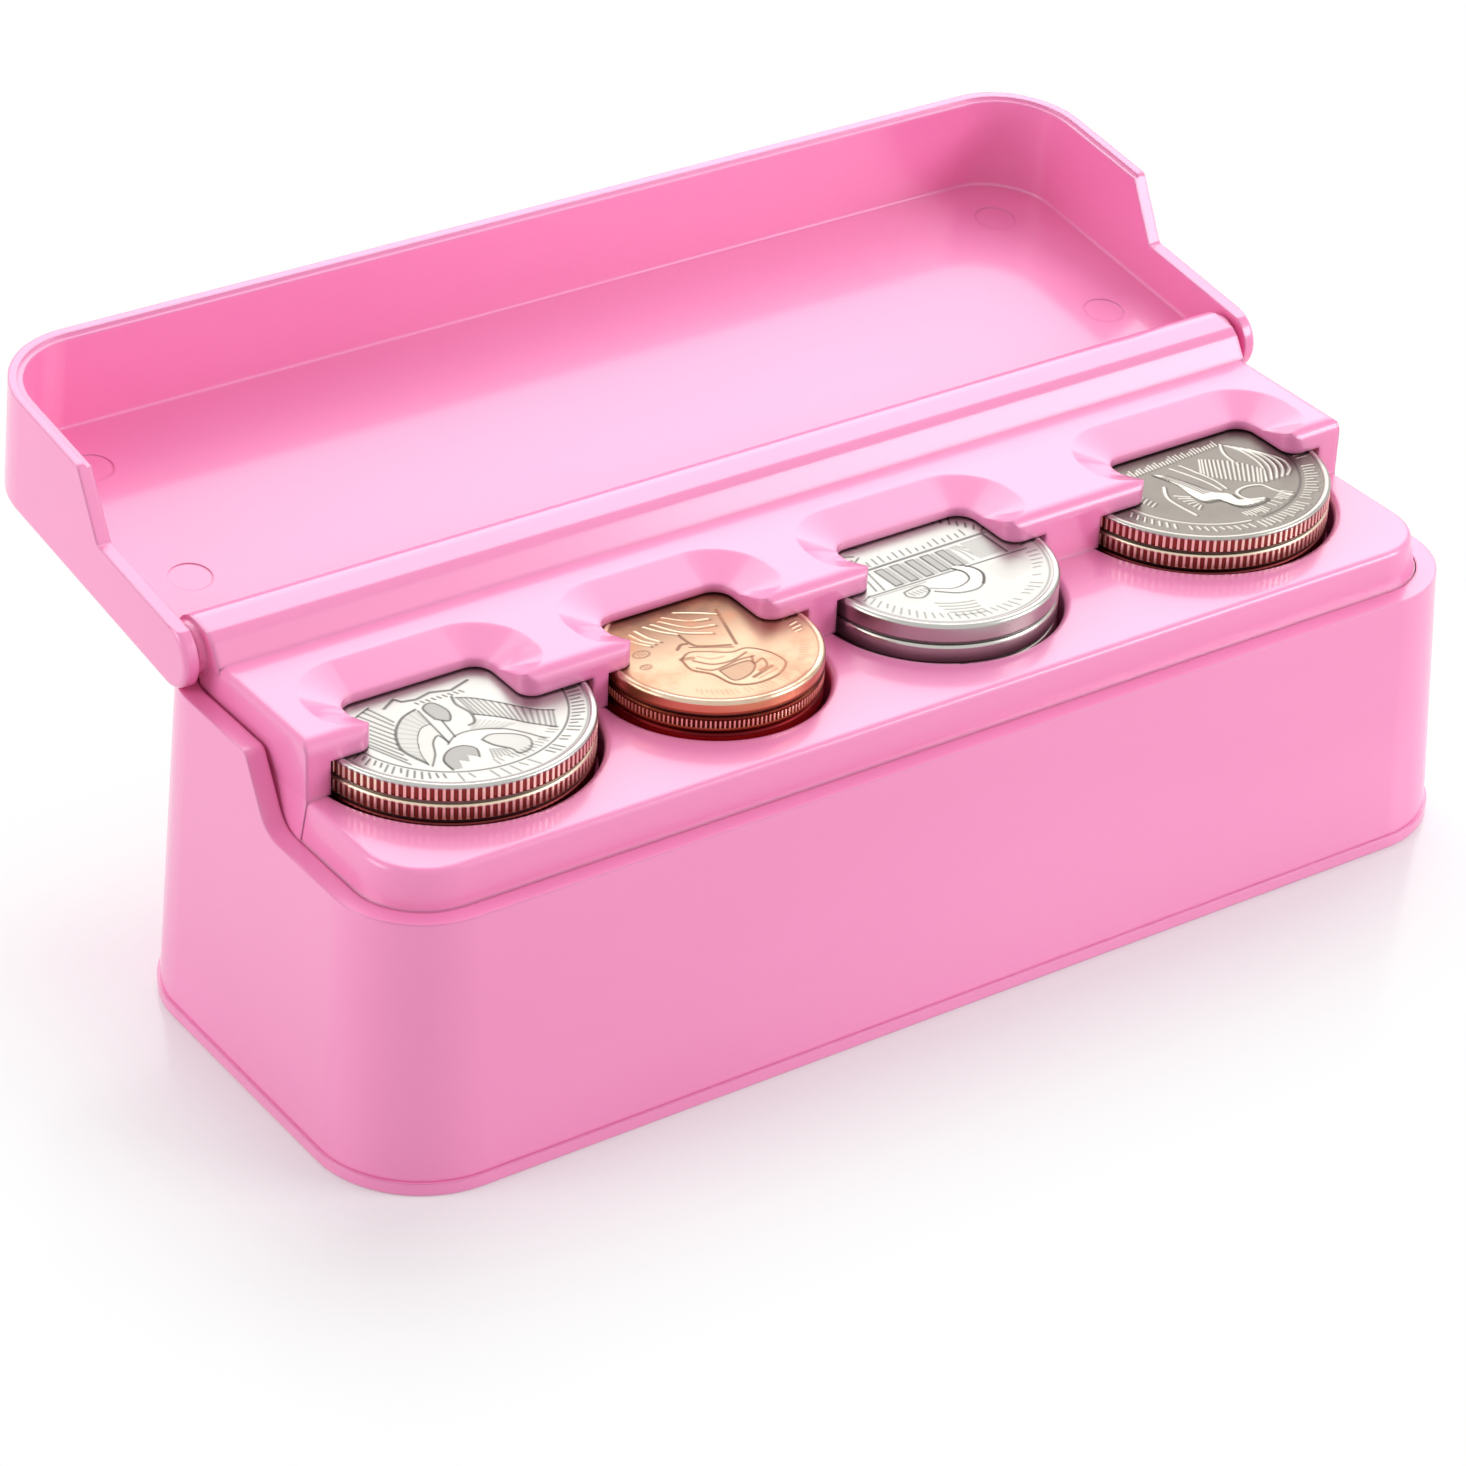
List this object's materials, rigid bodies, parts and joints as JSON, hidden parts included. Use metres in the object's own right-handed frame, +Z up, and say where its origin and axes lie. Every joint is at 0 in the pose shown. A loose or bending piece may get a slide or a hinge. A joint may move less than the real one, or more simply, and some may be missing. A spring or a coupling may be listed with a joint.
{
  "type": "coin holder",
  "caption": "Pocket coin holder: moulded case with sprung coin tubes under a notched retaining lip, and a hinged tray-shaped lid standing open.",
  "frame": {"origin": "middle of the foot, on the surface it stands on", "axes": "+X to the right along the box as seen from the front, -Y to the front where the coins slide out, +Z up"},
  "size_m": [0.1164, 0.0711, 0.0468],
  "materials": {
    "pink_plastic": "glossy moulded plastic",
    "follower_plastic": "moulded plastic",
    "spring_steel": "drawn wire",
    "coin_silver": "struck cupronickel",
    "coin_copper": "struck copper"
  },
  "bodies": {
    "case": {"case_shell": "pink_plastic", "base_plate": "pink_plastic", "coin_tray": "pink_plastic", "spring_quarter_left": "spring_steel", "spring_penny": "spring_steel", "spring_nickel": "spring_steel", "spring_quarter_right": "spring_steel"},
    "lid": {"lid": "pink_plastic", "hinge_pin_left": "pink_plastic", "hinge_pin_right": "pink_plastic"},
    "follower_quarter_left": {"follower_quarter_left": "follower_plastic", "quarter_left_1": "coin_silver", "quarter_left_2": "coin_silver", "quarter_left_3": "coin_silver"},
    "follower_penny": {"follower_penny": "follower_plastic", "penny_1": "coin_copper", "penny_2": "coin_copper", "penny_3": "coin_copper", "penny_4": "coin_copper"},
    "follower_nickel": {"follower_nickel": "follower_plastic", "nickel_1": "coin_silver", "nickel_2": "coin_silver", "nickel_3": "coin_silver"},
    "follower_quarter_right": {"follower_quarter_right": "follower_plastic", "quarter_right_1": "coin_silver", "quarter_right_2": "coin_silver", "quarter_right_3": "coin_silver"}
  },
  "joints": [
    {"name": "lid_hinge", "type": "hinge", "parent": "case", "child": "lid", "pos_m": [0, 0.0146, 0.03395], "axis": [1, 0, 0], "range_deg": [0, 172.3]},
    {"name": "quarter_left_press", "type": "slide", "parent": "case", "child": "follower_quarter_left", "axis": [0, 0, -1], "range_m": [0, 0.015], "stiffness_N_per_m": 60, "springref_m": -0.012, "deforming": ["spring_quarter_left"]},
    {"name": "penny_press", "type": "slide", "parent": "case", "child": "follower_penny", "axis": [0, 0, -1], "range_m": [0, 0.015], "stiffness_N_per_m": 60, "springref_m": -0.012, "deforming": ["spring_penny"]},
    {"name": "nickel_press", "type": "slide", "parent": "case", "child": "follower_nickel", "axis": [0, 0, -1], "range_m": [0, 0.015], "stiffness_N_per_m": 60, "springref_m": -0.012, "deforming": ["spring_nickel"]},
    {"name": "quarter_right_press", "type": "slide", "parent": "case", "child": "follower_quarter_right", "axis": [0, 0, -1], "range_m": [0, 0.015], "stiffness_N_per_m": 60, "springref_m": -0.012, "deforming": ["spring_quarter_right"]}
  ]
}
